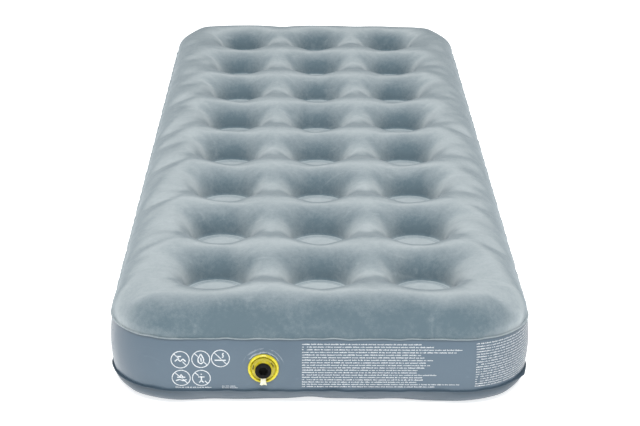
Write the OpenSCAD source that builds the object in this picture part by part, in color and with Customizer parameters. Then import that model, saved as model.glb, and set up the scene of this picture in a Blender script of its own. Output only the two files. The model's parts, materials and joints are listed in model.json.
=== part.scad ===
// Single airbed with a flocked top, round welded coil beams and a screw-in push-plug valve.
// +Z is up, X runs across the bed and -Y is the valve end. The floor is Z = 0.

/* [Bed] */
// Length of the inflated bed over its side wall
bed_length = 1880; // [1860:1:1960]
// Width of the inflated bed over its side wall
bed_width = 740; // [730:1:820]
// Height of the inflated bed
bed_height = 190; // [180:1:215]
// Radius of the bed's corners, seen from above, at the seams
corner_r = 120; // [100:1:135]
// Thickness of the welded sheets
sheet_t = 1.5; // [1.2:0.1:2.5]

/* [Side wall] */
// Height of the lower weld seam
lower_seam_z = 35; // [30:1:50]
// Height of the upper weld seam
upper_seam_z = 133; // [125:1:140]
// How far the side wall bulges out between its seams
wall_bulge = 5; // [2:0.5:8]
// How far the weld lips stand out from the seam line
lip_w = 4; // [2:0.5:6]

/* [Coil beams] */
// Number of rows of coil beams along the bed
row_count = 8; // [8:1:8]
// Distance between rows
row_pitch = 217.9; // [200:0.1:219]
// Distance between columns
column_pitch = 185.2; // [182:0.1:205]
// Radius of each dimple where it meets the crown of the sheet
mouth_r = 88; // [84:0.5:90]
// Radius of each welded disc at the bottom of a dimple
disc_r = 58; // [50:0.5:62]
// Depth of each dimple below the crown
dimple_depth = 48; // [42:1:60]
// Radius of the air holes through each coil beam
vent_r = 6; // [4:0.5:9]

/* [Valve] */
// Distance of the valve from the bed's centre line, to the left
valve_offset = 97; // [60:1:150]
// Height of the valve's axis
valve_z = 79; // [74:1:86]
// Outer radius of the valve seat's lip
lip_r = 26.5; // [25:0.5:32]
// Outer radius of the insert's screwed stem
stem_r = 17; // [16:0.1:17.2]
// Radius of the air way through the insert
airway_r = 10.8; // [9:0.1:11]
// How far the plug's face stands out from the side wall
plug_face = 12.5; // [11.5:0.5:18]

/* [Hidden] */
columns = ["left", "middle", "right"];
function coil_name(row, column) = str("coil_beam_", row + 1, "_", columns[column]);
shell_nodes = ["top_sheet", "side_wall", "bottom_sheet"];
valve_nodes = ["valve_flange", "valve_seat", "valve_gasket", "valve_insert", "flap_hinge_pin",
               "check_flap", "valve_plug", "plug_pull_tab"];

// Seam line: the rounded rectangle that the weld seams follow
seam_half_x = bed_width / 2 - wall_bulge;
seam_half_y = bed_length / 2 - wall_bulge;
corner_x = seam_half_x - corner_r;
corner_y = seam_half_y - corner_r;
// The valve stands out in front, so the bed lies this far back to centre the whole object on Y = 0
bed_y = plug_face / 2;

// Top rim: one arc from the upper seam up to the crown
top_rise = bed_height - upper_seam_z;
top_reach = 75;
top_rim_r = (top_reach * top_reach + top_rise * top_rise) / (2 * top_rise);
// Bottom rim: one arc from the lower seam down to the floor
bottom_reach = 44;
bottom_rim_r = (bottom_reach * bottom_reach + lower_seam_z * lower_seam_z) / (2 * lower_seam_z);
// Side wall: one arc between the seams
wall_half_h = (upper_seam_z - lower_seam_z) / 2;
wall_mid_z = (upper_seam_z + lower_seam_z) / 2;
wall_r = (wall_half_h * wall_half_h + wall_bulge * wall_bulge) / (2 * wall_bulge);
wall_half_angle = asin((wall_half_h - sheet_t / 4) / wall_r);

// Dimples
rise_r = mouth_r - disc_r;
rim_steps = 10;
rise_steps = 6;
wall_steps = 8;
coil_z = dimple_depth + sheet_t;
coil_height = bed_height - 2 * (dimple_depth + sheet_t);
coil_r = disc_r - 2;

// Valve, measured out from the side wall along the valve's own axis
running_gap = 0.5;
seat_bore_r = stem_r + running_gap;
seat_barrel_r = 20;
seat_depth = 24;
seat_lip_front = 3.5;
flange_r = 40;
flange_t = 1.5;
gasket_t = 1.2;
head_r = 20.4;
head_t = 2;
head_back = gasket_t;
head_front = head_back + head_t;
boss_base_r = 15.6;
boss_front_r = 14.2;
boss_front = 7.2;
stem_back = -22;
slot_angles = [28, 170];
slot_mid_r = 17.4;
slot_w = 2.4;
slot_half_angle = 15;
tab_t = 1;
tab_w = 11;
tab_bend_y = -15.3;
tab_slant = 8;
tab_end = 14.3;
tab_back = boss_front + 0.1;
tab_front = tab_back + tab_t;
tab_tip = [tab_bend_y - tab_end * cos(tab_slant), tab_front - tab_end * sin(tab_slant)];
tab_outline = [[-12, tab_back], [-12, tab_front], [tab_bend_y, tab_front], tab_tip,
               tab_tip + tab_t * [sin(tab_slant), -cos(tab_slant)],
               [tab_bend_y + tab_t * tan(tab_slant / 2), tab_back]];
plug_head_r = 14;
plug_head_back = tab_front + 0.1;
plug_stem_r = airway_r - 0.4;
plug_stem_back = -9;
recess_r = 7.5;
recess_depth = 9;
rib_count = 6;
flap_r = airway_r + 1.2;
flap_t = 1.5;
flap_front = stem_back - 0.4;
pin_r = 1;
eye_r = pin_r + 0.8;
pin_y = flap_r + 0.6;
pin_z = stem_back - eye_r - 0.3;
ear_x = 7.5;
ear_t = 3;
ear_half_h = 1.6;

// Points on an arc, as [inward, height] pairs
function arc(centre, r, from, to, steps) =
    [for (i = [0:steps]) let (a = from + (to - from) * i / steps) [centre[0] - r * cos(a), centre[1] + r * sin(a)]];

// Sweeps an outline of [inward, height] points once round the seam line
module round_the_bed(outline) {
    section = [for (p = outline) [corner_r - p[0], p[1]]];
    for (side = [0:3])
        rotate([0, 0, 90 * side]) {
            across = side % 2 == 0 ? corner_x : corner_y;
            along = side % 2 == 0 ? corner_y : corner_x;
            translate([across, along, 0]) {
                rotate([90, 0, 0]) linear_extrude(2 * along) polygon(section);
                rotate_extrude(angle = 90, $fn = 96) polygon(section);
            }
        }
}

module at_each_coil() {
    for (row = [0:row_count - 1], column = [0:2])
        translate([(column - 1) * column_pitch, (row - (row_count - 1) / 2) * row_pitch, 0]) children();
}

module rounded_slab(half_x, half_y, r, t) {
    linear_extrude(t) union() {
        square([2 * (half_x - r), 2 * half_y], center = true);
        square([2 * half_x, 2 * (half_y - r)], center = true);
        for (x = [-1, 1], y = [-1, 1]) translate([x * (half_x - r), y * (half_y - r)]) circle(r, $fn = 96);
    }
}

// One dimple, hanging from the plane Z = 0: a round weld disc with its wall rising to the crown
module dimple() {
    upper = concat([[0, -dimple_depth], [disc_r, -dimple_depth]],
                   arc([mouth_r, -rise_r], rise_r, 0, 90, rise_steps));
    lower = concat(arc([mouth_r, -rise_r], rise_r - sheet_t, 90, 0, rise_steps),
                   [[disc_r + sheet_t, -dimple_depth - sheet_t], [0, -dimple_depth - sheet_t]]);
    rotate_extrude($fn = 72) polygon(concat(upper, lower));
}

// The quilted middle of the top sheet, with its crown at Z = 0
module quilted_panel(reach) {
    difference() {
        translate([0, 0, -sheet_t])
            rounded_slab(seam_half_x - reach, seam_half_y - reach, corner_r - reach, sheet_t);
        at_each_coil() translate([0, 0, -sheet_t - 1]) cylinder(r = mouth_r, h = sheet_t + 2, $fn = 72);
    }
    at_each_coil() dimple();
}

// Outline of a rim that rises from a weld lip at height 0 to the crown
function rim_outline(reach, rise, r) =
    let (centre = [reach, rise - r], inner_r = r - sheet_t)
    concat([[-lip_w, 0], [-lip_w, sheet_t]],
           arc(centre, r, asin((r - rise + sheet_t) / r), 90, rim_steps),
           arc(centre, inner_r, 90, asin((r - rise) / inner_r), rim_steps));

module top_sheet() {
    color("lightsteelblue") translate([0, bed_y, 0]) {
        translate([0, 0, upper_seam_z]) round_the_bed(rim_outline(top_reach, top_rise, top_rim_r));
        translate([0, 0, bed_height]) quilted_panel(top_reach);
    }
}

module bottom_sheet() {
    color("slategray") translate([0, bed_y, 0]) mirror([0, 0, 1]) {
        translate([0, 0, -lower_seam_z])
            round_the_bed(rim_outline(bottom_reach, lower_seam_z, bottom_rim_r));
        quilted_panel(bottom_reach);
    }
}

// Outline of a sheet that follows the side wall's arc, from one depth behind its face to another
function wall_outline(from, to) =
    let (centre = [wall_r - wall_bulge, wall_mid_z])
    concat(arc(centre, wall_r - from, -wall_half_angle, wall_half_angle, wall_steps),
           arc(centre, wall_r - to, wall_half_angle, -wall_half_angle, wall_steps));

module weld_lip(z) {
    round_the_bed([[-lip_w, z], [-lip_w, z + sheet_t], [2 * sheet_t, z + sheet_t], [2 * sheet_t, z]]);
}

module side_wall() {
    color("slategray") difference() {
        translate([0, bed_y, 0]) {
            round_the_bed(wall_outline(0, sheet_t));
            weld_lip(upper_seam_z - sheet_t);
            weld_lip(lower_seam_z);
        }
        at_valve() translate([0, 0, -30]) cylinder(r = lip_r + running_gap, h = 60, $fn = 96);
    }
}

module coil_beam(row, column) {
    color("gainsboro")
        translate([(column - 1) * column_pitch, bed_y + (row - (row_count - 1) / 2) * row_pitch, coil_z])
            difference() {
                cylinder(r = coil_r, h = coil_height, $fn = 72);
                translate([0, 0, -1]) cylinder(r = coil_r - sheet_t, h = coil_height + 2, $fn = 72);
                translate([0, 0, coil_height / 2]) rotate([0, 90, 0])
                    cylinder(r = vent_r, h = 3 * coil_r, center = true, $fn = 32);
            }
}

// Puts a shape on the valve's axis: its own +Z points out of the bed, and its own +Y points up
module at_valve() {
    translate([-valve_offset, bed_y - bed_length / 2, valve_z]) rotate([90, 0, 0]) children();
}

module ring(inner_r, outer_r, back, front) {
    difference() {
        translate([0, 0, back]) cylinder(r = outer_r, h = front - back, $fn = 96);
        translate([0, 0, back - 1]) cylinder(r = inner_r, h = front - back + 2, $fn = 96);
    }
}

// Soft ring welded behind the side wall, curved like the wall
module valve_flange() {
    color("steelblue") intersection() {
        translate([0, bed_y, 0]) round_the_bed(wall_outline(sheet_t, sheet_t + flange_t));
        at_valve() ring(seat_barrel_r + 0.3, flange_r, -30, 30);
    }
}

module valve_seat() {
    color("gold") at_valve() rotate_extrude($fn = 96) polygon([
        [seat_bore_r, -seat_depth], [seat_barrel_r, -seat_depth], [seat_barrel_r, -sheet_t],
        [lip_r, -sheet_t], [lip_r, seat_lip_front - 1.5], [lip_r - 1.5, seat_lip_front],
        [lip_r - 3.5, seat_lip_front], [head_r + running_gap, 0], [seat_bore_r, 0]]);
}

module valve_gasket() {
    color("dimgray") at_valve() ring(stem_r + 0.3, head_r - 1, 0.05, gasket_t - 0.05);
}

// Two curved finger slots through the head let the insert be turned by hand
module finger_slots() {
    for (angle = slot_angles)
        rotate([0, 0, angle - slot_half_angle])
            rotate_extrude(angle = 2 * slot_half_angle, $fn = 96)
                translate([slot_mid_r - slot_w / 2, head_back - 1]) square([slot_w, head_t + 2]);
}

module valve_insert() {
    color("gold") at_valve() {
        difference() {
            rotate_extrude($fn = 96) polygon([
                [airway_r, stem_back], [stem_r, stem_back], [stem_r, head_back], [head_r, head_back],
                [head_r, head_front - 0.5], [head_r - 0.5, head_front], [boss_base_r, head_front],
                [boss_front_r, boss_front], [airway_r, boss_front]]);
            finger_slots();
        }
        for (side = [-1, 1]) translate([side * ear_x, pin_y, 0]) hinge_ear();
    }
}

// One of the two ears behind the stem that hold the flap's pin
module hinge_ear() {
    difference() {
        translate([-ear_t / 2, -ear_half_h, pin_z - eye_r])
            cube([ear_t, 2 * ear_half_h, stem_back + 1 - (pin_z - eye_r)]);
        translate([0, 0, pin_z]) rotate([0, 90, 0])
            cylinder(r = pin_r + 0.02, h = ear_t + 2, center = true, $fn = 32);
    }
}

module flap_hinge_pin() {
    color("silver") at_valve() translate([0, pin_y, pin_z]) rotate([0, 90, 0])
        cylinder(r = pin_r, h = 2 * ear_x + ear_t, center = true, $fn = 32);
}

// Round flap behind the air way, with a hinge eye on its upper edge
module check_flap() {
    color("whitesmoke") at_valve() difference() {
        union() {
            translate([0, 0, flap_front - flap_t]) cylinder(r = flap_r, h = flap_t, $fn = 96);
            translate([0, pin_y, pin_z]) rotate([0, 90, 0])
                cylinder(r = eye_r, h = 2 * ear_x - ear_t - 1, center = true, $fn = 32);
        }
        translate([0, pin_y, pin_z]) rotate([0, 90, 0])
            cylinder(r = pin_r + 0.05, h = 2 * ear_x, center = true, $fn = 32);
    }
}

module valve_plug() {
    color("#202022") at_valve() {
        difference() {
            union() {
                translate([0, 0, plug_stem_back])
                    cylinder(r = plug_stem_r, h = plug_head_back - plug_stem_back + 1, $fn = 96);
                rotate_extrude($fn = 96) polygon([
                    [0, plug_head_back], [plug_head_r, plug_head_back], [plug_head_r, plug_face - 1],
                    [plug_head_r - 1, plug_face], [0, plug_face]]);
            }
            translate([0, 0, plug_face - recess_depth]) cylinder(r = recess_r, h = recess_depth + 1, $fn = 96);
        }
        for (i = [0:rib_count - 1])
            rotate([0, 0, 360 / rib_count * i + 30])
                translate([recess_r - 1.4, -0.8, plug_face - recess_depth - 0.5])
                    cube([2.4, 1.6, recess_depth - 1]);
    }
}

// Soft tab that hangs from the plug's neck down over the seat's lip
module plug_pull_tab() {
    color("lemonchiffon") at_valve() {
        ring(plug_stem_r + 0.2, plug_head_r - 0.6, tab_back, tab_front);
        translate([-tab_w / 2, 0, 0]) rotate([90, 0, 90]) linear_extrude(tab_w) polygon(tab_outline);
    }
}

top_sheet();
side_wall();
bottom_sheet();
valve_flange();
valve_seat();
valve_gasket();
valve_insert();
flap_hinge_pin();
check_flap();
valve_plug();
plug_pull_tab();
for (row = [0:row_count - 1], column = [0:2])
    coil_beam(row, column);
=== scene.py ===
"""Looks of the single flocked air mattress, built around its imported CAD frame.

The shell is one closed mesh of top sheet, side wall and bottom sheet. It is laid out ring by ring
round every coil beam, puffed up by a cloth simulation with air pressure, and then cut along its
seams into three pieces. Lengths are in metres, +Z is up and the valve end faces -Y.
"""

import json
import math
import random

import bpy
import numpy as np
from mathutils import Matrix, Vector


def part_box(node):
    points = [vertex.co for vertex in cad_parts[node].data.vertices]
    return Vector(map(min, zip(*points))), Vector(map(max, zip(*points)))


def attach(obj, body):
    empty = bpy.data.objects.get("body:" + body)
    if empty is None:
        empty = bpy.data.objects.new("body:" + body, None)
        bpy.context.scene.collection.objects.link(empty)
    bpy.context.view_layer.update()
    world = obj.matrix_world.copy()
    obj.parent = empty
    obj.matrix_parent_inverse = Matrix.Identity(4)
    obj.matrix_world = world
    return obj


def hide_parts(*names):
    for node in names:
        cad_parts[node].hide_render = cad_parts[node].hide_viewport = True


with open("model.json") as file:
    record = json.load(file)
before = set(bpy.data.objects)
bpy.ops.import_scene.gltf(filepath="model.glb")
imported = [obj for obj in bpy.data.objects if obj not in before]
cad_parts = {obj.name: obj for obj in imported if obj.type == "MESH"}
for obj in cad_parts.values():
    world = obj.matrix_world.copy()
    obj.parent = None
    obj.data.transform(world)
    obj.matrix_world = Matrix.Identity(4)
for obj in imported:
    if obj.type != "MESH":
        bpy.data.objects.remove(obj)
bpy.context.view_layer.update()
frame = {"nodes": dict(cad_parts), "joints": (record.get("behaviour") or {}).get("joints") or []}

COLUMNS = ("left", "middle", "right")
ROWS = 8

# ---------------------------------------------------------------- places taken from the frame


def middle(node):
    low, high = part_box(node)
    return (low + high) / 2


WALL_LOW, WALL_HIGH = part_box("side_wall")
BED_MIDDLE = middle("side_wall")
HALF_X = (WALL_HIGH.x - WALL_LOW.x) / 2
HALF_Y = (WALL_HIGH.y - WALL_LOW.y) / 2
UPPER_SEAM, LOWER_SEAM = WALL_HIGH.z, WALL_LOW.z
FIRST_COIL, LAST_COIL = middle("coil_beam_1_left"), middle("coil_beam_8_right")
COIL_LOW, COIL_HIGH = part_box("coil_beam_1_left")
WALL_MIDDLE = (UPPER_SEAM + LOWER_SEAM) / 2
COLUMN_PITCH = (LAST_COIL.x - FIRST_COIL.x) / 2
ROW_PITCH = (LAST_COIL.y - FIRST_COIL.y) / (ROWS - 1)
DISC_MARGIN, SHEET_T = 0.001, 0.0015            # how far the discs stand past a coil beam's box
DISC_BOTTOM, DISC_TOP = COIL_LOW.z - SHEET_T, COIL_HIGH.z + SHEET_T
DISC_R = (COIL_HIGH.x - COIL_LOW.x) / 2 + DISC_MARGIN
VALVE, FLAP_PIN = (Vector(next(j for j in frame["joints"] if j["name"] == name)["pos_m"])
                   for name in ("insert_turn", "flap_swing"))

# ---------------------------------------------------------------- sizes of the small parts

# Valve: radii and widths, and distances out from the wall
LIP_R, LIP_BACK, LIP_FRONT, LIP_ROUND = 0.0265, -0.0015, 0.0035, 0.0015
BARREL_R, BARREL_BACK, SEAT_BORE_R, SEAT_R = 0.020, -0.024, 0.0175, 0.0209
STEM_R, STEM_BACK, AIRWAY_R = 0.017, -0.022, 0.0108
HEAD_R, HEAD_BACK, HEAD_FRONT = 0.0204, 0.0012, 0.0032
BOSS_BASE_R, BOSS_FRONT_R, BOSS_FRONT = 0.0156, 0.0142, 0.0072
GASKET_R, GASKET_GAP = 0.0173, 0.00005
SLOT_ANGLES, SLOT_SPREAD = (math.radians(28), math.radians(170)), math.radians(15)
SLOT_R, SLOT_W, SLOT_LOW, SLOT_HIGH = 0.0174, 0.0024, 0.0002, 0.005
EAR_X, EAR_T, EAR_R, EAR_REACH, PIN_R = 0.0075, 0.003, 0.0016, 0.0031, 0.001
TAB_BACK, TAB_FRONT = 0.0073, 0.0083
TAB_BEND_R, TAB_SLANT, TAB_FALL, TAB_T = 0.0153, math.radians(8), 0.0136, 0.0010
TAB_ROOT_R, TAB_HALF_W, TAB_FLARE = 0.0112, 0.0050, 0.0016
PLUG_R, PLUG_FACE, PLUG_BACK, RECESS_R, RECESS_DEPTH, RIB_H = 0.014, 0.0125, -0.009, 0.0075, 0.009, 0.0014
# Coil beams
VENT_R, COIL_WAIST = 0.006, 0.004
# Print. A place is a distance right of the end wall's middle, and a height.
INK_LIFT = 0.00012
LINES, PRINT_H = 18, 0.0021
BAR_W, BAR_GAP, WORD_GAP, FIGURE_INK = (0.0008, 0.0013), 0.00045, 0.0014, 0.0020
SHORT_LINE, LONG_LINE = (0.185, 0.225), (0.24, 0.275)
RING_R, RING_INK = 0.0153, 0.0015
RING_PLACES = ((-0.2385, 0.0945), (-0.2035, 0.0955), (-0.1700, 0.0971), (-0.2375, 0.0595),
               (-0.2031, 0.0595))
# Lines of dashes: left end, right end, base and height. Blocks: left, base, top and the long lines.
DASHED_LINES = ((-0.248, -0.186, 0.0395, 0.0024), (-0.168, -0.154, 0.0390, 0.0017),
                (-0.168, -0.154, 0.0425, 0.0017))
BLOCKS = ((-0.031, 0.042, 0.127, (2, 3, 16)), (0.266, 0.043, 0.128, (1, 2, 15)))

# ---------------------------------------------------------------- shape of the inflated shell

WALL_BULGE = 0.005
CORNER_R = 0.120
SEAM_X, SEAM_Y = HALF_X - WALL_BULGE, HALF_Y - WALL_BULGE
CELL_X, CELL_Y = COLUMN_PITCH / 2, ROW_PITCH / 2
SIDE_STEPS = (16, 20)   # mesh steps along a cell's short and long side
WALL_RINGS = 9          # rings between a disc's edge and its cell's edge
BOWL_REACH = 0.052      # how far from its disc's edge a dimple's wall reaches full height
END_REACH = 0.041       # the same, towards the bed's two ends
RIM_RINGS = 10          # rings between the outermost cells and the seam
BAND_RINGS = 9          # rings between the two seams
DISC_RINGS = (0.34, 0.68, 0.82, 0.86, 0.90, 0.94, 1.0)
GROOVE_RINGS, DISC_GROOVE = (0.86, 0.90), 0.0016    # the pressed weld ring in each disc
DISC_CREASE = 0.9
SEAM_SWAY = 0.0008      # how far the seams wander up and down
SEAM_TUCK = 0.0010      # how far the sheet puckers in and out beside a seam
PUCKER_REACH = 0.014    # how far from a seam its puckers fade out
UPPER_LIP, LOWER_LIP, LIP_T, LIP_FLUTTER = 0.0034, 0.0042, 0.0011, 0.0003
SCRAP_PLACE, SCRAP_W = 0.375, 0.005
WALL_HOLE_R = 0.0235    # hole in the wall behind the valve's lip


def arc_share(share, fatness):
    """Height of a quarter arc, from 0 at its steep foot to 1 at its flat crown. Fatness 2 is an ellipse."""
    return (1 - (1 - np.clip(share, 0, 1)) ** fatness) ** (1 / fatness)


def ease(t):
    return (1 - np.cos(np.pi * np.clip(t, 0, 1))) / 2


class Side:
    """What shapes one sheet: its heights, and how far in and how square its rim curves."""

    def __init__(self, disc, saddle_x, saddle_y, bump, rim_saddle, seam, reach, fatness):
        self.disc, self.saddle_x, self.saddle_y, self.bump = disc, saddle_x, saddle_y, bump
        self.rim_saddle, self.seam, self.reach, self.fatness = rim_saddle, seam, reach, fatness


TOP = Side(DISC_TOP, 0.178, 0.183, 0.188, 0.188, UPPER_SEAM, 0.085, 2.2)
BOTTOM = Side(DISC_BOTTOM, 0.016, 0.010, 0.0, 0.002, LOWER_SEAM, 0.070, 2.2)


def cell_outline():
    """Points round one cell, anticlockwise from its near left corner, as fractions of its half sizes."""
    nx, ny = SIDE_STEPS
    near = [(-1 + 2 * i / nx, -1) for i in range(nx)]
    right = [(1, -1 + 2 * i / ny) for i in range(ny)]
    return np.array(near + right + [(-x, -y) for x, y in near + right])


def crown_height(side, column, row, u, v):
    """Height of the crown line on a cell's edge at (u, v), which are -1 to 1 across the cell."""
    on_x = np.abs(u) >= 1 - 1e-9
    outer = (on_x & ((column + u < -0.5) | (column + u > 2.5))) | (
        (np.abs(v) >= 1 - 1e-9) & ((row + v < -0.5) | (row + v > ROWS - 0.5)))
    saddle = np.where(on_x, side.saddle_x, side.saddle_y)
    saddle = np.where(outer, side.rim_saddle, saddle)
    along = np.where(on_x, np.abs(v), np.abs(u))
    return saddle + (side.bump - saddle) * ease(along)


SEAM_LENGTH = 4 * (SEAM_X + SEAM_Y - 2 * CORNER_R) + 2 * math.pi * CORNER_R


def seam_wave(distance, phase):
    """An uneven wave round the seam, about -1 to 1."""
    turn = 2 * math.pi * distance / SEAM_LENGTH
    return sum(math.sin(k * turn + phase * k) for k in (31, 53, 79, 113)) / 2.2


def seam_point(distance):
    """Point and outward normal on the seam, a distance anticlockwise from its rightmost middle."""
    flat_x, flat_y, turn = SEAM_X - CORNER_R, SEAM_Y - CORNER_R, CORNER_R * math.pi / 2
    parts = [("line", flat_y, (SEAM_X, 0), (0, 1)), ("arc", turn, (flat_x, flat_y), 0),
             ("line", 2 * flat_x, (flat_x, SEAM_Y), (-1, 0)), ("arc", turn, (-flat_x, flat_y), 90),
             ("line", 2 * flat_y, (-SEAM_X, flat_y), (0, -1)), ("arc", turn, (-flat_x, -flat_y), 180),
             ("line", 2 * flat_x, (-flat_x, -SEAM_Y), (1, 0)), ("arc", turn, (flat_x, -flat_y), 270),
             ("line", flat_y, (SEAM_X, -flat_y), (0, 1))]
    distance %= sum(p[1] for p in parts)
    for kind, length, start, how in parts:
        if distance <= length + 1e-12:
            if kind == "line":
                point = (start[0] + how[0] * distance, start[1] + how[1] * distance)
                return point, (how[1], -how[0])
            angle = math.radians(how) + distance / CORNER_R
            normal = (math.cos(angle), math.sin(angle))
            return (start[0] + CORNER_R * normal[0], start[1] + CORNER_R * normal[1]), normal
        distance -= length
    return seam_point(0)


def beside_seam(distance, away):
    """How far the sheet beside a seam is pushed out and up, at a distance along it and away from it."""
    near = math.exp(-away / PUCKER_REACH)
    return SEAM_TUCK * seam_wave(distance, 2) * near * (1 - near), SEAM_SWAY * seam_wave(distance, 1) * near


class Shell:
    """Collects the points and faces of the closed shell, with what each belongs to."""

    def __init__(self):
        self.points, self.faces, self.parts, self.pinned, self.known = [], [], [], [], {}
        self.creased = set()

    def point(self, x, y, z, pinned=False):
        key = (round(x, 5), round(y, 5), round(z, 4))
        if key not in self.known:
            self.known[key] = len(self.points)
            self.points.append((x, y, z))
            self.pinned.append(pinned)
        index = self.known[key]
        self.pinned[index] = self.pinned[index] or pinned
        return index

    def strip(self, inner, outer, part):
        """Faces between two loops of points. The top's loops run anticlockwise from inside out."""
        for i in range(len(inner)):
            j = (i + 1) % len(inner)
            face = (inner[i], outer[i], outer[j], inner[j])
            self.faces.append(face if part != "bottom" else face[::-1])
            self.parts.append(part)


def add_cell(shell, side, part, column, row):
    """One coil beam's cell of the sheet: its welded disc, and the dimple's wall up to the cell's edge."""
    cx = (column - 1) * COLUMN_PITCH
    cy = (row - (ROWS - 1) / 2) * ROW_PITCH
    uv = cell_outline()
    edge = uv * (CELL_X, CELL_Y)
    away = edge / np.linalg.norm(edge, axis=1)[:, None]
    foot = away * DISC_R
    run = np.linalg.norm(edge - foot, axis=1)
    crown = crown_height(side, column, row, uv[:, 0], uv[:, 1])
    at_end = np.abs(row + uv[:, 1] - (ROWS - 1) / 2) > (ROWS - 0.1) / 2
    reach = np.minimum(run, np.where(at_end, END_REACH, BOWL_REACH))
    loops = []
    inward = math.copysign(DISC_GROOVE, WALL_MIDDLE - side.disc)
    for share in DISC_RINGS:
        z = side.disc + inward * (share in GROOVE_RINGS)
        loops.append([shell.point(cx + x * share, cy + y * share, z, True) for x, y in foot])
    shell.creased.update(loops[-1])
    centre = shell.point(cx, cy, side.disc, True)
    for i in range(len(foot)):
        j = (i + 1) % len(foot)
        face = (centre, loops[0][i], loops[0][j])
        shell.faces.append(face if part == "top" else face[::-1])
        shell.parts.append(part)
    for ring in range(1, WALL_RINGS + 1):
        share = 1 - math.cos(math.pi / 2 * ring / WALL_RINGS)
        plan = foot + (edge - foot) * share
        rise = arc_share(share * run / reach, side.fatness)
        loops.append([shell.point(cx + p[0], cy + p[1], z)
                      for p, z in zip(plan, side.disc + (crown - side.disc) * rise)])
    for inner, outer in zip(loops, loops[1:]):
        shell.strip(inner, outer, part)


def block_outline():
    """Points round the block of cells, anticlockwise from its rightmost middle."""
    nx, ny = SIDE_STEPS
    half_x, half_y = 3 * CELL_X, ROWS * CELL_Y
    right = [(half_x, -half_y + 2 * CELL_Y * i / ny) for i in range(ROWS * ny)]
    far = [(half_x - 2 * CELL_X * i / nx, half_y) for i in range(3 * nx)]
    loop = right + far + [(-x, -y) for x, y in right + far]
    start = ROWS * ny // 2
    return loop[start:] + loop[:start]


def block_crown(side, x, y):
    """Height of the crown line at a point on the edge of the block of cells."""
    half_x, half_y = 3 * CELL_X, ROWS * CELL_Y
    if abs(abs(x) - half_x) < 1e-9:
        along = (y + half_y) / (2 * CELL_Y) % 1
    else:
        along = (x + half_x) / (2 * CELL_X) % 1
    return side.rim_saddle + (side.bump - side.rim_saddle) * float(ease(abs(2 * along - 1)))


def wall_bulge(z):
    """How far the side wall stands out at a height."""
    return WALL_BULGE * (1 - ((2 * z - UPPER_SEAM - LOWER_SEAM) / (UPPER_SEAM - LOWER_SEAM)) ** 2)


def seam_distances(block):
    """Seam distances of the block's outline points: in step from middle to corner to middle."""
    half_x, half_y = 3 * CELL_X, ROWS * CELL_Y
    eighth = [half_y, half_x, half_x, half_y] * 2
    seam = [SEAM_Y - CORNER_R + CORNER_R * math.pi / 4, SEAM_X - CORNER_R + CORNER_R * math.pi / 4]
    seam = [seam[0], seam[1], seam[1], seam[0]] * 2
    travelled, out = 0.0, []
    for i, p in enumerate(block):
        if i:
            travelled += math.dist(p, block[i - 1])
        rest, done = travelled, 0.0
        for a, b in zip(eighth, seam):
            if rest <= a + 1e-9:
                out.append(done + b * rest / a)
                break
            rest -= a
            done += b
    return out


def build_shell():
    """The closed shell: cells round the coil beams, a rim on each sheet, and the wall between the seams."""
    shell = Shell()
    for part, side in (("top", TOP), ("bottom", BOTTOM)):
        for row in range(ROWS):
            for column in range(3):
                add_cell(shell, side, part, column, row)
    block = block_outline()
    distances = seam_distances(block)
    seam = [seam_point(d) for d in distances]
    seam_loops = {}
    for part, side in (("top", TOP), ("bottom", BOTTOM)):
        loops = [[shell.point(x, y, block_crown(side, x, y)) for x, y in block]]
        for ring in range(1, RIM_RINGS + 1):
            share = 1 - math.cos(math.pi / 2 * (RIM_RINGS - ring) / RIM_RINGS)
            loop = []
            for (x, y), (s, n), distance in zip(block, seam, distances):
                px, py = s[0] + (x - s[0]) * share, s[1] + (y - s[1]) * share
                inward = math.dist((px, py), s)
                full = min(side.reach, math.dist((x, y), s))
                rise = float(arc_share(inward / full, side.fatness))
                z = side.seam + (block_crown(side, x, y) - side.seam) * rise
                out, up = beside_seam(distance, inward + abs(z - side.seam))
                loop.append(shell.point(px + n[0] * out, py + n[1] * out, z + up, ring == RIM_RINGS))
            loops.append(loop)
        for inner, outer in zip(loops, loops[1:]):
            shell.strip(inner, outer, part)
        seam_loops[part] = loops[-1]
    loops = [seam_loops["top"]]
    for ring in range(1, BAND_RINGS):
        z = UPPER_SEAM + (LOWER_SEAM - UPPER_SEAM) * ring / BAND_RINGS
        loop = []
        for (s, n), distance in zip(seam, distances):
            out, up = beside_seam(distance, min(UPPER_SEAM - z, z - LOWER_SEAM))
            out += wall_bulge(z)
            loop.append(shell.point(s[0] + n[0] * out, s[1] + n[1] * out, z + up, True))
        loops.append(loop)
    loops.append(seam_loops["bottom"])
    for inner, outer in zip(loops, loops[1:]):
        shell.strip(inner, outer, "wall")
    return shell


def mesh_object(name, points, faces, crease=None):
    """A mesh piece, smoothly shaded except across edges sharper than the crease angle."""
    mesh = bpy.data.meshes.new(name)
    mesh.from_pydata([tuple(p) for p in points], [], [tuple(f) for f in faces])
    mesh.update()
    mesh.shade_smooth()
    if crease:
        mesh.set_sharp_from_angle(angle=math.radians(crease))
    obj = bpy.data.objects.new(name, mesh)
    bpy.context.scene.collection.objects.link(obj)
    return obj


SIM_FRAMES = 20
PRESSURE = 4.0
MOST_MOVE = 0.010       # the furthest that a point may be puffed out
CREASE_SMOOTHING = 5    # rounds of averaging that leave only the broad creases
FLOOR_GAP = 0.0002      # the sheet flattens where it would go through the floor


def averaged(step, edges, rounds):
    """Each point's move mixed with its neighbours' moves, a number of times."""
    degree = np.bincount(edges.ravel(), minlength=len(step))[:, None]
    for _ in range(rounds):
        total = np.zeros_like(step)
        np.add.at(total, edges[:, 0], step[edges[:, 1]])
        np.add.at(total, edges[:, 1], step[edges[:, 0]])
        step = (step + total / degree) / 2
    return step


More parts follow.
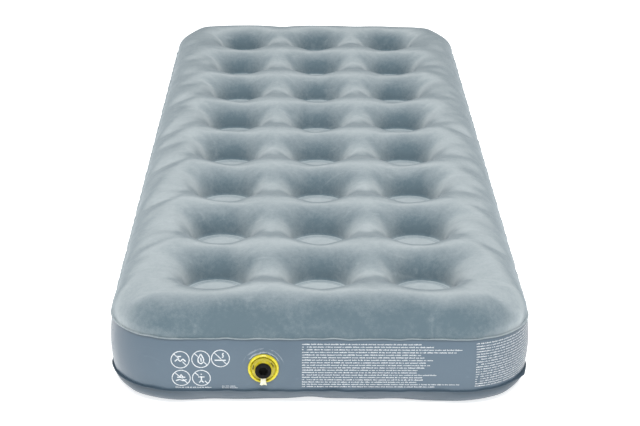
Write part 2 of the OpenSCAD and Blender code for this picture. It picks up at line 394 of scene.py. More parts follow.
def inflate(obj, pinned):
    """Puffs the shell up with Blender's cloth, its discs and seams held, and keeps the result."""
    group = obj.vertex_groups.new(name="held")
    group.add([i for i, held in enumerate(pinned) if held], 1.0, "REPLACE")
    rest = np.array([v.co for v in obj.data.vertices])
    cloth = obj.modifiers.new("air", "CLOTH")
    settings = cloth.settings
    settings.quality = 5
    settings.mass = 0.3
    settings.tension_stiffness = 15
    settings.compression_stiffness = 15
    settings.shear_stiffness = 5
    settings.bending_stiffness = 0.3
    settings.vertex_group_mass = "held"
    settings.use_pressure = True
    settings.uniform_pressure_force = PRESSURE
    settings.shrink_min = -0.02
    settings.effector_weights.gravity = 0
    cloth.point_cache.frame_start = 1
    cloth.point_cache.frame_end = SIM_FRAMES
    scene = bpy.context.scene
    for step in range(1, SIM_FRAMES + 1):
        scene.frame_set(step)
    evaluated = obj.evaluated_get(bpy.context.evaluated_depsgraph_get())
    moved = np.array([v.co for v in evaluated.data.vertices])
    obj.modifiers.remove(cloth)
    scene.frame_set(1)
    edges = np.array([e.vertices[:] for e in obj.data.edges])
    free = ~np.array(pinned)[:, None]
    step = averaged(moved - rest, edges, CREASE_SMOOTHING) * free
    length = np.linalg.norm(step, axis=1)
    share = np.minimum(1, MOST_MOVE / np.maximum(length, 1e-9))
    shape = rest + step * share[:, None]
    shape[:, 2] = np.maximum(shape[:, 2], FLOOR_GAP)
    obj.data.vertices.foreach_set("co", shape.ravel())
    obj.data.update()


def cut_round(points, faces, centre, axis, radius):
    """Opens a round hole along an axis, 0 for x or 1 for y: its edge points move on to the circle."""
    points = points.copy()
    flat = [i for i in range(3) if i != axis]
    gone, kept = [], []
    for face in faces:
        middle_of_face = points[list(face)].mean(0)
        near = abs(middle_of_face[axis] - centre[axis]) < radius
        inside = math.dist(middle_of_face[flat], np.array(centre)[flat]) < radius
        (gone if near and inside else kept).append(face)
    for i in {i for f in gone for i in f} & {i for f in kept for i in f}:
        off = points[i, flat] - np.array(centre)[flat]
        points[i, flat] = np.array(centre)[flat] + off * radius / np.linalg.norm(off)
    return points, kept


def compact(points, faces):
    """Only the points that the faces use, the faces numbered to match, and the old numbers."""
    used = sorted({i for f in faces for i in f})
    index = {old: new for new, old in enumerate(used)}
    return points[used], [[index[i] for i in f] for f in faces], used


def keep_creases(piece, creased, used):
    """Keeps the edges between creased points sharp when the piece is subdivided."""
    sharp = piece.data.attributes.new("crease_edge", "FLOAT", "EDGE")
    sharp.data.foreach_set("value", [float(all(used[i] in creased for i in e.vertices)) * DISC_CREASE
                                     for e in piece.data.edges])


def build_bed():
    """The puffed-up shell, cut along its seams into its three sheets."""
    shell = build_shell()
    whole = mesh_object("shell", shell.points, shell.faces)
    inflate(whole, shell.pinned)
    points = np.array([v.co for v in whole.data.vertices]) + np.array([BED_MIDDLE.x, BED_MIDDLE.y, 0])
    bpy.data.objects.remove(whole)
    pieces = {}
    for part in ("top", "wall", "bottom"):
        faces = [f for f, p in zip(shell.faces, shell.parts) if p == part]
        shaped = points
        if part == "wall":
            shaped, faces = cut_round(points, faces, VALVE, 1, WALL_HOLE_R)
        shaped, faces, used = compact(shaped, faces)
        pieces[part] = mesh_object(part, shaped, faces)
        keep_creases(pieces[part], shell.creased, used)
    return pieces


def weld_lip(name, seam_z, lip, overlap=lambda distance: 0):
    """The welded edge of two sheets, as a thin wavy strip that stands out from the seam."""
    stations = 700
    points = []
    for i in range(stations):
        distance = SEAM_LENGTH * i / stations
        (x, y), (nx, ny) = seam_point(distance)
        width = lip * (0.9 + 0.12 * seam_wave(distance, 3)) + overlap(distance)
        lift = SEAM_SWAY * seam_wave(distance, 1)
        tip = lift + LIP_FLUTTER * seam_wave(2 * distance, 5) - 0.0006
        for out, up in ((-0.002, lift + LIP_T / 2), (width, tip + LIP_T / 3), (width, tip - LIP_T / 3),
                        (-0.002, lift - LIP_T / 2)):
            points.append((BED_MIDDLE.x + x + nx * out, BED_MIDDLE.y + y + ny * out, seam_z + up))
    faces = []
    for i in range(stations):
        a, b = 4 * i, 4 * ((i + 1) % stations)
        faces += [(a + k, a + (k + 1) % 4, b + (k + 1) % 4, b + k) for k in range(4)]
    return mesh_object(name, points, faces, crease=40)


def scrap(distance):
    """Untrimmed scrap of sheet that sticks out of the lower seam at the front right corner."""
    from_corner = (distance - 0.75 * SEAM_LENGTH) - SCRAP_PLACE
    ragged = 0.6 + 0.4 * math.sin(from_corner * 900) * math.sin(from_corner * 370)
    return SCRAP_W * math.exp(-(from_corner / 0.016) ** 2) * ragged


# ---------------------------------------------------------------- materials


class Paint:
    """A Principled material, with helpers that add nodes to it. Its patterns are in metres."""

    def __init__(self, name, roughness, **constants):
        self.material = bpy.data.materials.new(name)
        self.material.use_nodes = True
        self.tree = self.material.node_tree
        self.shader = self.tree.nodes["Principled BSDF"]
        self.shader.inputs["Roughness"].default_value = roughness
        for key, value in constants.items():
            self.shader.inputs[key.replace("_", " ")].default_value = value
        self.place = self.add("ShaderNodeTexCoord").outputs["Object"]

    def add(self, kind, **settings):
        node = self.tree.nodes.new(kind)
        for key, value in settings.items():
            setattr(node, key, value)
        return node

    def feed(self, socket, value):
        if isinstance(value, bpy.types.NodeSocket):
            self.tree.links.new(value, socket)
        else:
            socket.default_value = value

    def stretched(self, stretch):
        node = self.add("ShaderNodeMapping")
        self.feed(node.inputs["Vector"], self.place)
        node.inputs["Scale"].default_value = stretch
        return node.outputs["Vector"]

    def noise(self, scale, detail=2.0, stretch=None, distortion=0.0, rough=0.5):
        node = self.add("ShaderNodeTexNoise")
        self.feed(node.inputs["Vector"], self.stretched(stretch) if stretch else self.place)
        for key, value in (("Scale", scale), ("Detail", detail), ("Distortion", distortion),
                           ("Roughness", rough)):
            node.inputs[key].default_value = value
        return node.outputs[0]

    def remap(self, value, low, high, to_low=0.0, to_high=1.0):
        node = self.add("ShaderNodeMapRange", interpolation_type="SMOOTHSTEP")
        for key, number in (("Value", value), ("From Min", low), ("From Max", high),
                            ("To Min", to_low), ("To Max", to_high)):
            self.feed(node.inputs[key], number)
        return node.outputs["Result"]

    def maths(self, operation, a, b=0.0):
        node = self.add("ShaderNodeMath", operation=operation)
        self.feed(node.inputs[0], a)
        self.feed(node.inputs[1], b)
        return node.outputs[0]

    def mix(self, share, a, b):
        node = self.add("ShaderNodeMix", data_type="RGBA")
        sockets = [s for s in node.inputs if s.enabled]
        for socket, value in zip(sockets, (share, a, b)):
            self.feed(socket, (*value, 1) if isinstance(value, tuple) else value)
        return next(s for s in node.outputs if s.enabled)

    def colour(self, value):
        self.feed(self.shader.inputs["Base Color"], value)

    def roughness(self, value):
        self.feed(self.shader.inputs["Roughness"], value)

    def bump(self, *layers):
        """Adds bump layers in turn. Each is a height pattern, its strength and its depth in metres."""
        normal = None
        for height, strength, depth in layers:
            node = self.add("ShaderNodeBump")
            node.inputs["Strength"].default_value = strength
            node.inputs["Distance"].default_value = depth
            self.feed(node.inputs["Height"], height)
            if normal:
                self.feed(node.inputs["Normal"], normal)
            normal = node.outputs["Normal"]
        self.feed(self.shader.inputs["Normal"], normal)


def flocked(name, head_on_shade, grazing_sheen):
    """Velvet flock, its sheen painted into its colour: painted shade seen head-on, a painted sheen at a
    grazing angle and painted shade again at its very edge.

    Nap clouds, brushed streaks and single tufts vary it."""
    paint = Paint(name, 0.95, Specular_IOR_Level=0.1, Sheen_Weight=0.2, Sheen_Roughness=0.45)
    paint.shader.inputs["Sheen Tint"].default_value = (0.86, 0.94, 1.0, 1)
    # Painted sheen: the Layer Weight facing mixes the colour from the painted head-on shade towards the
    # painted grazing sheen.
    facing = paint.add("ShaderNodeLayerWeight")
    facing.inputs["Blend"].default_value = 0.5
    grazing = paint.maths("POWER", paint.maths("MULTIPLY", facing.outputs["Facing"], 1.5), 1.3)
    # Painted shade: the colour is dulled again where the flock is seen almost edge-on, as at the side rims.
    edge = paint.remap(facing.outputs["Facing"], 0.62, 0.81, 1.0, 0.52)
    grazing = paint.maths("MULTIPLY", paint.maths("MINIMUM", grazing, 0.88), edge)
    clouds = paint.noise(13, detail=6, distortion=0.9, rough=0.65)
    brushed = paint.remap(paint.noise(10, detail=5, stretch=(1, 2.4, 1), distortion=2.4), 0.58, 0.72)
    mottle = paint.noise(140, detail=3, rough=0.7)
    pile = paint.noise(1100, detail=1)
    # The tone is the painted sheen plus random nap clouds, brushed streaks, mottle and tufts.
    tone = paint.maths("ADD", grazing, paint.remap(clouds, 0.3, 0.7, -0.07, 0.07))
    tone = paint.maths("ADD", tone, paint.maths("MULTIPLY", brushed, 0.10))
    tone = paint.maths("ADD", tone, paint.remap(mottle, 0.3, 0.7, -0.05, 0.05))
    tone = paint.maths("ADD", tone, paint.remap(pile, 0.3, 0.7, -0.05, 0.05))
    paint.colour(paint.mix(tone, head_on_shade, grazing_sheen))
    paint.bump((clouds, 0.25, 0.002), (mottle, 0.25, 0.0006), (pile, 0.5, 0.0004))
    return paint.material


def vinyl(name, dark, light, roughness=0.36, puckers_and_glints=False):
    """Soft PVC sheet: semi-gloss, with slow colour drift, scuffs, a fine press grain and soft ripples."""
    paint = Paint(name, roughness, Specular_IOR_Level=0.5)
    drift = paint.noise(6, detail=4, distortion=0.5)
    scuffs = paint.remap(paint.noise(24, detail=5, stretch=(1, 1, 3), distortion=1.8), 0.60, 0.74)
    grain = paint.noise(1500, detail=1)
    ripples = paint.noise(14, detail=2, stretch=(1.6, 1.6, 0.5))
    tone = paint.maths("ADD", drift, paint.maths("MULTIPLY", scuffs, 0.35))
    layers = [(ripples, 0.35, 0.002), (grain, 0.12, 0.0002)]
    colour = paint.mix(tone, dark, light)
    if puckers_and_glints:
        # Round the valve: painted highlight arcs on the folds above it, mixed into the colour as a pale
        # tint, and a real ring of bump.
        painted_highlights, ring = valve_puckers_and_highlights(paint)
        colour = paint.mix(painted_highlights, colour, (0.26, 0.305, 0.345))
        layers.insert(0, (ring, 0.6, 0.0012))
    paint.colour(colour)
    uneven = paint.maths("ADD", drift, scuffs)
    paint.roughness(paint.remap(uneven, 0.3, 1.2, roughness - 0.05, roughness + 0.14))
    paint.bump(*layers)
    return paint.material


def valve_puckers_and_highlights(paint):
    """Tight folds in the sheet round the valve: painted highlight arcs above it and a rippled ring of bump.
    """
    apart = paint.add("ShaderNodeSeparateXYZ")
    paint.feed(apart.inputs[0], paint.place)
    across = paint.maths("SUBTRACT", apart.outputs["X"], VALVE.x)
    up = paint.maths("SUBTRACT", apart.outputs["Z"], VALVE.z)
    squares = paint.maths("ADD", paint.maths("POWER", across, 2), paint.maths("POWER", up, 2))
    away = paint.maths("SQRT", squares)
    at_valve_end = paint.remap(apart.outputs["Y"], -0.85, -0.80, 1.0, 0.0)
    close = paint.maths("MULTIPLY", paint.remap(away, 0.026, 0.044, 1.0, 0.0), at_valve_end)
    fold = paint.noise(55, detail=2, distortion=1.5)
    wander = paint.maths("MULTIPLY", fold, 9.0)
    arcs = paint.maths("SINE", paint.maths("ADD", paint.maths("MULTIPLY", away, 950.0), wander))
    # Painted highlight: pale arcs where the folds above the valve would catch the light.
    above = paint.maths("MULTIPLY", close, paint.remap(up, 0.006, 0.020))
    painted_highlights = paint.maths("MULTIPLY", above, paint.remap(arcs, 0.35, 0.95))
    painted_highlights = paint.maths("MULTIPLY", painted_highlights, paint.remap(fold, 0.42, 0.56))
    ring = paint.maths("MULTIPLY", close, fold)
    return painted_highlights, ring


def moulded(name, dark, light, roughness=0.3, **constants):
    """Moulded plastic or rubber: slight colour drift, flow marks, finger wear and a fine skin."""
    paint = Paint(name, roughness, **constants)
    drift = paint.noise(90, detail=4, distortion=1.0)
    paint.colour(paint.mix(paint.remap(drift, 0.3, 0.7), dark, light))
    paint.roughness(paint.remap(drift, 0.3, 0.7, roughness - 0.06, roughness + 0.10))
    paint.bump((paint.noise(700, detail=3), 0.15, 0.0002), (drift, 0.25, 0.0003))
    return paint.material


def drawn_steel(name):
    """Bright drawn wire, with fine lines along it."""
    paint = Paint(name, 0.28, Metallic=1.0)
    lines = paint.noise(900, detail=2, stretch=(0.05, 1, 1))
    paint.colour(paint.mix(lines, (0.42, 0.43, 0.44), (0.66, 0.66, 0.65)))
    paint.bump((lines, 0.2, 0.0001))
    return paint.material


def ink(name):
    """White print, thin and a little uneven."""
    paint = Paint(name, 0.5)
    worn = paint.noise(420, detail=3)
    paint.colour(paint.mix(paint.remap(worn, 0.35, 0.6), (0.38, 0.42, 0.45), (0.62, 0.65, 0.67)))
    paint.bump((worn, 0.2, 0.0001))
    return paint.material


# The flock's two colours are its painted head-on shade and its painted grazing sheen.
FLOCK = flocked("flock", (0.095, 0.135, 0.159), (0.368, 0.412, 0.428))
SIDE_VINYL = vinyl("side_vinyl", (0.054, 0.088, 0.123), (0.086, 0.126, 0.164), puckers_and_glints=True)
BASE_VINYL = vinyl("base_vinyl", (0.038, 0.061, 0.086), (0.059, 0.088, 0.115), 0.46)
COIL_VINYL = vinyl("coil_vinyl", (0.50, 0.53, 0.55), (0.60, 0.62, 0.63), 0.45)
SOFT = {"Subsurface_Weight": 0.2, "Subsurface_Scale": 0.003, "Subsurface_Radius": (1.0, 0.9, 0.6)}
YELLOW = moulded("yellow_moulding", (0.47, 0.40, 0.010), (0.62, 0.55, 0.03), 0.28, **SOFT)
# A darker copy of the valve yellow: painted shade for the insert that sits inside the ring's dish.
SHADED_YELLOW = moulded("shaded_insert_moulding", (0.30, 0.25, 0.006), (0.42, 0.36, 0.012), 0.3, **SOFT)
GASKET_RUBBER = moulded("gasket_rubber", (0.030, 0.030, 0.030), (0.055, 0.054, 0.052), 0.7)
FLAP_RUBBER = moulded("flap_rubber", (0.66, 0.66, 0.62), (0.80, 0.80, 0.76), 0.45, **SOFT)
PLUG_RUBBER = moulded("plug_rubber", (0.002, 0.002, 0.002), (0.006, 0.006, 0.006), 0.55,
                      Specular_IOR_Level=0.12)
TAB_RUBBER = moulded("tab_rubber", (0.58, 0.56, 0.40), (0.74, 0.72, 0.58), 0.4, **SOFT)
STEEL = drawn_steel("drawn_steel")
INK = ink("white_ink")


def finish(piece, paint, body, slot, *nodes, levels=0):
    """Gives a piece its material, its body and the CAD nodes that it stands for. The slot argument is not
    used.
    """
    piece.data.materials.clear()
    piece.data.materials.append(paint)
    if levels:
        smooth = piece.modifiers.new("smooth", "SUBSURF")
        smooth.levels = smooth.render_levels = levels
    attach(piece, body)
    if nodes:
        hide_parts(*nodes)
    return piece


# ---------------------------------------------------------------- the bed's sheets and welds

bed = build_bed()
for part, (name, node, paint, slot) in {
        "top": ("flocked_top", "top_sheet", FLOCK, "flocked_top"),
        "wall": ("wall_band", "side_wall", SIDE_VINYL, "side_pvc"),
        "bottom": ("base_sheet", "bottom_sheet", BASE_VINYL, "base_pvc")}.items():
    bed[part].name = name
    finish(bed[part], paint, "shell", slot, node, levels=1)
upper_weld = finish(weld_lip("upper_weld", UPPER_SEAM, UPPER_LIP), FLOCK, "shell", "flocked_top")
lower_weld = finish(weld_lip("lower_weld", LOWER_SEAM, LOWER_LIP, scrap), BASE_VINYL, "shell", "base_pvc")

# ---------------------------------------------------------------- coil beams


def coil_tube(name, node):
    """One coil beam: an upright tube of sheet, drawn in at the waist by the air round it."""
    low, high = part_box(node)
    centre, radius = (low + high) / 2, (high.x - low.x) / 2
    rings, steps = 14, 48
    points = []
    for i in range(rings + 1):
        share = i / rings
        waist = COIL_WAIST * math.sin(math.pi * share)
        for j in range(steps):
            angle = 2 * math.pi * (j + 0.5) / steps
            fold = 0.0006 * math.sin(5 * angle + 2 * share) * math.sin(math.pi * share)
            r = radius - waist + fold
            points.append((centre.x + r * math.cos(angle), centre.y + r * math.sin(angle),
                           low.z + (high.z - low.z) * share))
    faces = []
    for i in range(rings):
        a, b = i * steps, (i + 1) * steps
        faces += [(a + j, a + (j + 1) % steps, b + (j + 1) % steps, b + j) for j in range(steps)]
    points = np.array(points)
    for axis in (0, 1):
        for side in (-1, 1):
            hole = centre.copy()
            hole[axis] += side * radius
            points, faces = cut_round(points, faces, hole, axis, VENT_R)
    tube = mesh_object(name, *compact(points, faces)[:2])
    thick = tube.modifiers.new("thick", "SOLIDIFY")
    thick.thickness, thick.offset = 0.0004, -1
    finish(tube, COIL_VINYL, "shell", "coil_pvc", node, levels=1)


for row in range(1, ROWS + 1):
    for column in COLUMNS:
        coil_tube("coil_%d_%s" % (row, column), "coil_beam_%d_%s" % (row, column))

# ---------------------------------------------------------------- valve


def at_valve(r, angle, out):
    """A point at a radius and an angle round the valve's axis, and a distance out from the wall."""
    return (VALVE.x + r * math.cos(angle), VALVE.y - out, VALVE.z + r * math.sin(angle))


def rounded(outline, closed, r=0.0004):
    """An outline with each sharp corner swapped for a small arc."""
    soft = []
    for i, corner in enumerate(outline):
        if not closed and i in (0, len(outline) - 1):
            soft.append(corner)
            continue
        here = Vector(corner)
        before, after = Vector(outline[i - 1]) - here, Vector(outline[(i + 1) % len(outline)]) - here
        reach = min(r, before.length / 2.5, after.length / 2.5)
        start, end = here + before.normalized() * reach, here + after.normalized() * reach
        soft += [tuple(start), tuple((start + here * 2 + end) / 4), tuple(end)]
    return soft


def turned(name, outline, closed=True, steps=96, shape=None):
    """A piece turned round the valve's axis. Its outline is in radius and distance out from the wall."""
    outline = rounded(outline, closed)
    points = []
    for j in range(steps):
        angle = 2 * math.pi * j / steps
        for r, out in outline:
            r, out = shape(r, out, angle) if shape else (r, out)
            points.append(at_valve(r, angle, out))
    n = len(outline)
    faces = []
    for j in range(steps):
        a, b = n * j, n * ((j + 1) % steps)
        faces += [(a + k, b + k, b + (k + 1) % n, a + (k + 1) % n) for k in range(n if closed else n - 1)]
    if not closed:
        points, faces = fused(points, faces)
    return mesh_object(name, points, faces, crease=50)


def fused(points, faces):
    """Points at the same place made one, and faces that this flattens left out."""
    places, index = {}, []
    for p in points:
        index.append(places.setdefault(tuple(round(c, 6) for c in p), len(places)))
    faces = [tuple(dict.fromkeys(index[i] for i in f)) for f in faces]
    return list(places), [f for f in faces if len(f) > 2]


def ribbed(r, out, angle):
    """Six ribs in the recess of the plug's face."""
    if r <= RECESS_R + 1e-6 and out > PLUG_FACE - RECESS_DEPTH + 0.001 and r > RECESS_R - 0.001:
        r -= RIB_H * max(0, math.cos(6 * angle + math.pi)) ** 4
    return r, out


SEAT_OUTLINE = [(SEAT_BORE_R, BARREL_BACK), (BARREL_R, BARREL_BACK), (BARREL_R, LIP_BACK),
                (LIP_R, LIP_BACK), (LIP_R, LIP_FRONT - LIP_ROUND), (LIP_R - LIP_ROUND, LIP_FRONT),
                (LIP_R - LIP_FRONT, LIP_FRONT), (SEAT_R, 0), (SEAT_BORE_R, 0)]
INSERT_OUTLINE = [(AIRWAY_R, STEM_BACK), (STEM_R, STEM_BACK), (STEM_R, HEAD_BACK), (HEAD_R, HEAD_BACK),
                  (HEAD_R, HEAD_FRONT), (BOSS_BASE_R, HEAD_FRONT), (BOSS_FRONT_R, BOSS_FRONT),
                  (AIRWAY_R, BOSS_FRONT)]
TAB_EYE_OUTLINE = [(AIRWAY_R - 0.0002, TAB_BACK), (PLUG_R - 0.0006, TAB_BACK), (PLUG_R - 0.0006, TAB_FRONT),
                   (AIRWAY_R - 0.0002, TAB_FRONT)]
GASKET_OUTLINE = [(GASKET_R, GASKET_GAP), (HEAD_R - 0.001, GASKET_GAP),
                  (HEAD_R - 0.001, HEAD_BACK - GASKET_GAP), (GASKET_R, HEAD_BACK - GASKET_GAP)]
NECK_R = AIRWAY_R - 0.0004
PLUG_OUTLINE = [(0, PLUG_BACK), (NECK_R, PLUG_BACK), (NECK_R, TAB_FRONT + 0.0001),
                (PLUG_R, TAB_FRONT + 0.0001), (PLUG_R, PLUG_FACE - 0.0006), (PLUG_R - 0.0008, PLUG_FACE),
                (RECESS_R + 0.0006, PLUG_FACE), (RECESS_R, PLUG_FACE - 0.0008),
                (RECESS_R, PLUG_FACE - RECESS_DEPTH), (0, PLUG_FACE - RECESS_DEPTH)]


def slot_cutter(angle):
    """A curved bar round the valve's axis, for cutting a finger slot."""
    steps = 12
    points = []
    for i in range(steps + 1):
        a = angle + SLOT_SPREAD * (2 * i / steps - 1)
        points += [at_valve(SLOT_R + SLOT_W / 2 * side, a, out)
                   for side, out in ((-1, SLOT_LOW), (1, SLOT_LOW), (1, SLOT_HIGH), (-1, SLOT_HIGH))]
    faces = [(0, 1, 2, 3), tuple(4 * steps + k for k in (3, 2, 1, 0))]
    for i in range(steps):
        a, b = 4 * i, 4 * (i + 1)
        faces += [(b + k, b + (k + 1) % 4, a + (k + 1) % 4, a + k) for k in range(4)]
    return mesh_object("cutter", points, faces)


def carve(piece, tools):
    """Cuts the tools out of a piece and removes them."""
    for tool in tools:
        cut = piece.modifiers.new("cut", "BOOLEAN")
        cut.operation, cut.solver, cut.object = "DIFFERENCE", "EXACT", tool
    carved = piece.evaluated_get(bpy.context.evaluated_depsgraph_get())
    mesh = bpy.data.meshes.new_from_object(carved)
    piece.modifiers.clear()
    piece.data = mesh
    mesh.set_sharp_from_angle(angle=math.radians(40))
    for tool in tools:
        bpy.data.objects.remove(tool)
    return piece


def hinge_ear(side):
    """One of the two ears behind the stem, with a round eye for the flap's pin."""
    steps, points = 32, []
    for eye, x in ((False, -EAR_T / 2), (False, EAR_T / 2), (True, EAR_T / 2), (True, -EAR_T / 2)):
        for i in range(steps):
            up, back = math.cos(2 * math.pi * i / steps), math.sin(2 * math.pi * i / steps)
            if eye:
                up, back = PIN_R * up, PIN_R * back
            elif back > 0:
                up, back = EAR_R * up, EAR_R * back
            else:
                up, back = EAR_R * min(1, max(-1, 2 * up)), EAR_REACH * max(-1, 2 * back)
            points.append((FLAP_PIN.x + side * EAR_X + x, FLAP_PIN.y + back, FLAP_PIN.z + up))
    faces = [(steps * a + i, steps * a + (i + 1) % steps, steps * b + (i + 1) % steps, steps * b + i)
             for a, b in ((0, 1), (1, 2), (2, 3), (3, 0)) for i in range(steps)]
    return mesh_object("hinge_ear_%s" % ("right" if side > 0 else "left"), points, faces, crease=40)


def tongue():
    """The pull tab's soft tongue: it bends down in front of the boss and droops over the lip."""
    path = [(TAB_ROOT_R, TAB_BACK), (0.0136, TAB_BACK), (TAB_BEND_R, TAB_BACK - 0.0001)]
    path += [(TAB_BEND_R + TAB_FALL * t * math.cos(TAB_SLANT), TAB_BACK - TAB_FALL * t * math.sin(TAB_SLANT))
             for t in (0.2, 0.4, 0.6, 0.8, 0.93, 1.0)]
    across, points = 12, []
    for i, (down, out) in enumerate(path):
        share = i / (len(path) - 1)
        half = TAB_HALF_W - 0.0008 * math.sin(math.pi * share) + TAB_FLARE * share ** 2
        for j in range(across + 1):
            side = 2 * j / across - 1
            curl = 0.0009 * side * side * share + 0.0004 * math.sin(4 * side + 4 * share)
            ragged = 0.0011 * share ** 6 * (side * side + 0.6 * math.sin(5 * side + 1))
            points.append((VALVE.x + half * side, VALVE.y - out - TAB_T / 2 - curl, VALVE.z - down + ragged))
    row = across + 1
    faces = [(i * row + j, i * row + j + 1, (i + 1) * row + j + 1, (i + 1) * row + j)
             for i in range(len(path) - 1) for j in range(across)]
    piece = mesh_object("tab_tongue", points, faces)
    thick = piece.modifiers.new("thick", "SOLIDIFY")
    thick.thickness, thick.offset = TAB_T, 0
    return piece


finish(turned("valve_ring", SEAT_OUTLINE), YELLOW, "shell", "valve_yellow", "valve_seat")
stem = turned("valve_stem", INSERT_OUTLINE)
carve(stem, [slot_cutter(angle) for angle in SLOT_ANGLES])
finish(stem, SHADED_YELLOW, "insert", "valve_yellow", "valve_insert")
for side in (-1, 1):
    finish(hinge_ear(side), SHADED_YELLOW, "insert", "valve_yellow", "valve_insert")
finish(turned("seal_ring", GASKET_OUTLINE), GASKET_RUBBER, "gasket", "gasket_rubber", "valve_gasket")
finish(turned("plug_body", PLUG_OUTLINE, closed=False, steps=192, shape=ribbed), PLUG_RUBBER, "plug",
       "plug_rubber", "valve_plug")
finish(turned("tab_eye", TAB_EYE_OUTLINE), TAB_RUBBER, "plug", "tab_rubber", "plug_pull_tab")
finish(tongue(), TAB_RUBBER, "plug", "tab_rubber", "plug_pull_tab", levels=1)
for node, paint in (("valve_flange", SIDE_VINYL), ("flap_hinge_pin", STEEL), ("check_flap", FLAP_RUBBER)):
    frame["nodes"][node].data.materials.clear()
    frame["nodes"][node].data.materials.append(paint)

# ---------------------------------------------------------------- print on the side wall


class Print:
    """Flat ink on the side wall. Places are the distance right of the end's middle, and the height."""

    def __init__(self):
        self.points, self.faces = [], []

    def on_wall(self, along, z):
        (x, y), (nx, ny) = seam_point(0.75 * SEAM_LENGTH + along)
        out = wall_bulge(z) + INK_LIFT
        return BED_MIDDLE.x + x + nx * out, BED_MIDDLE.y + y + ny * out, z

    def patch(self, corners):
        first = len(self.points)
        self.points += [self.on_wall(*c) for c in corners]
        self.faces.append(tuple(range(first, first + len(corners))))

    def stroke(self, path, width):
        """A line of ink along a path of places."""
        path = [Vector(p) for p in path]
        for a, b in zip(path, path[1:]):
            side = (b - a).orthogonal().normalized() * width / 2
            self.patch([a - side, b - side, b + side, a + side][::-1])

    def ring(self, centre, radius, width, steps=48):
        for i in range(steps):
            arc = [Vector((math.cos(a), math.sin(a)))
                   for a in (2 * math.pi * i / steps, 2 * math.pi * (i + 1) / steps)]
            inner, outer = radius - width / 2, radius + width / 2
            self.patch([centre + arc[0] * inner, centre + arc[0] * outer, centre + arc[1] * outer,
                        centre + arc[1] * inner])

    def dashes(self, rng, start, end, base, height):
        """A line of short upright bars in groups, which stands for small print."""
        at = start
        while at < end:
            for _ in range(rng.randint(2, 9)):
                wide, tall = rng.uniform(*BAR_W), height * rng.choice((0.7, 0.7, 1.0))
                self.patch([(at, base), (at + wide, base), (at + wide, base + tall), (at, base + tall)])
                at += wide + BAR_GAP
            at += WORD_GAP


def pictograms(marks):
    """Five generic struck-out rings, each round a simple figure."""
    figures = [
        [[(-0.6, -0.2), (-0.3, 0.1), (0.0, -0.2), (0.3, 0.1), (0.6, -0.2)], [(-0.3, 0.4), (0.1, 0.4)]],
        [[(0, 0.65), (0.32, 0.05), (0.28, -0.35), (0, -0.55), (-0.28, -0.35), (-0.32, 0.05), (0, 0.65)],
         [(0, 0.2), (0.05, -0.3)]],
        [[(-0.65, -0.2), (0.6, -0.2)], [(0.2, 0.1), (0.35, 0.3), (0.2, 0.5), (0.35, 0.65)]],
        [[(-0.6, -0.35), (-0.2, -0.2), (0.2, -0.35), (0.6, -0.2)], [(-0.45, 0.1), (0.45, 0.1)],
         [(-0.2, 0.1), (0.0, 0.45), (0.2, 0.1)]],
        [[(0, 0.25), (0, -0.3)], [(-0.35, 0.15), (0.35, 0.15)], [(0, -0.3), (-0.25, -0.6)],
         [(0, -0.3), (0.25, -0.6)], [(-0.08, 0.5), (0.08, 0.5)]],
    ]
    for place, figure in zip(RING_PLACES, figures):
        centre = Vector(place)
        marks.ring(centre, RING_R, RING_INK)
        across = Vector((-RING_R, RING_R)) / math.sqrt(2)
        marks.stroke([centre + across, centre - across], RING_INK)
        for path in figure:
            marks.stroke([centre + Vector(p) * RING_R for p in path], FIGURE_INK)


def small_print(marks, rng, left, base, top, long_lines):
    """A block of dashed lines with a column of short codes at its left and a ragged right edge."""
    pitch = (top - base) / LINES
    for line in range(LINES):
        z = top - pitch * (line + 1)
        marks.dashes(rng, left, left + 0.002, z, PRINT_H)
        reach = rng.uniform(*(LONG_LINE if line in long_lines else SHORT_LINE))
        marks.dashes(rng, left + 0.008, left + reach, z, PRINT_H)


rng = random.Random(5)
marks = Print()
pictograms(marks)
for line in DASHED_LINES:
    marks.dashes(rng, *line)
for block in BLOCKS:
    small_print(marks, rng, *block)
finish(mesh_object("wall_print", marks.points, marks.faces), INK, "shell", "side_pvc")

# ---------------------------------------------------------------- floor, light and camera


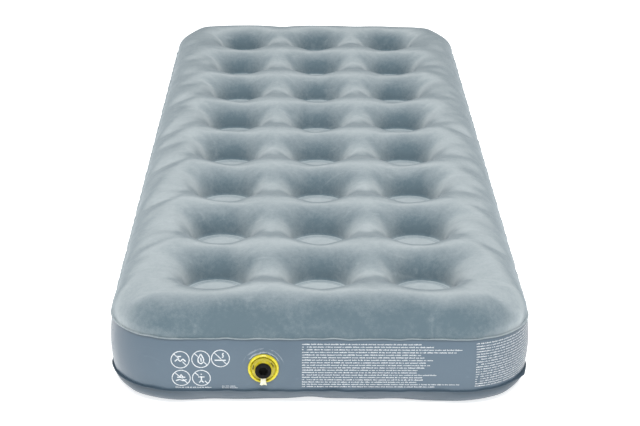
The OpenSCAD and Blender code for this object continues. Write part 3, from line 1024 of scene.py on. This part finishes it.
def area_light(name, place, aim, size, power):
    lamp = bpy.data.lights.new(name, "AREA")
    lamp.shape, lamp.size, lamp.size_y = "RECTANGLE", size[0], size[1]
    lamp.energy = power
    obj = bpy.data.objects.new(name, lamp)
    obj.location = place
    obj.rotation_mode = "QUATERNION"
    obj.rotation_quaternion = (Vector(aim) - Vector(place)).to_track_quat("-Z", "Y")
    bpy.context.scene.collection.objects.link(obj)


def paper():
    """Matt white backdrop paper, which glows a little so that shadows on it stay faint."""
    paint = Paint("paper", 0.9, Emission_Strength=0.74)
    paint.shader.inputs["Emission Color"].default_value = (1, 1, 1, 1)
    fibres = paint.noise(30, detail=3)
    paint.colour(paint.mix(fibres, (0.88, 0.88, 0.88), (0.90, 0.90, 0.90)))
    return paint.material


floor = mesh_object("floor", [(-30, -30, 0), (30, -30, 0), (30, 30, 0), (-30, 30, 0)], [(0, 1, 2, 3)])
floor.data.materials.append(paper())

world = bpy.data.worlds.new("studio")
world.use_nodes = True
world.node_tree.nodes["Background"].inputs["Color"].default_value = (1, 1, 1, 1)
world.node_tree.nodes["Background"].inputs["Strength"].default_value = 0.34
bpy.context.scene.world = world
area_light("front_softbox", (0, -6.5, 7.9), (0, -0.1, 0.1), (4.4, 2.8), 970)
area_light("overhead", (0, 0.2, 3.4), (0, 0, 0), (1.8, 2.4), 40)

bpy.context.scene.view_settings.view_transform = "Standard"

CAMERA_PLACE = Vector((-0.0305, -3.534, 1.376))
CAMERA_PITCH, CAMERA_YAW, CAMERA_ROLL = (math.radians(a) for a in (21.31, 0.615, 0.495))
lens = bpy.data.cameras.new("camera")
lens.sensor_width, lens.lens = 36, 95.17
camera = bpy.data.objects.new("camera", lens)
camera.location = CAMERA_PLACE + Vector((0, BED_MIDDLE.y, 0))
turn = Matrix.Rotation(-CAMERA_YAW, 4, "Z") @ Matrix.Rotation(math.pi / 2 - CAMERA_PITCH, 4, "X")
camera.rotation_euler = (turn @ Matrix.Rotation(CAMERA_ROLL, 4, "Z")).to_euler()
bpy.context.scene.collection.objects.link(camera)
bpy.context.scene.camera = camera
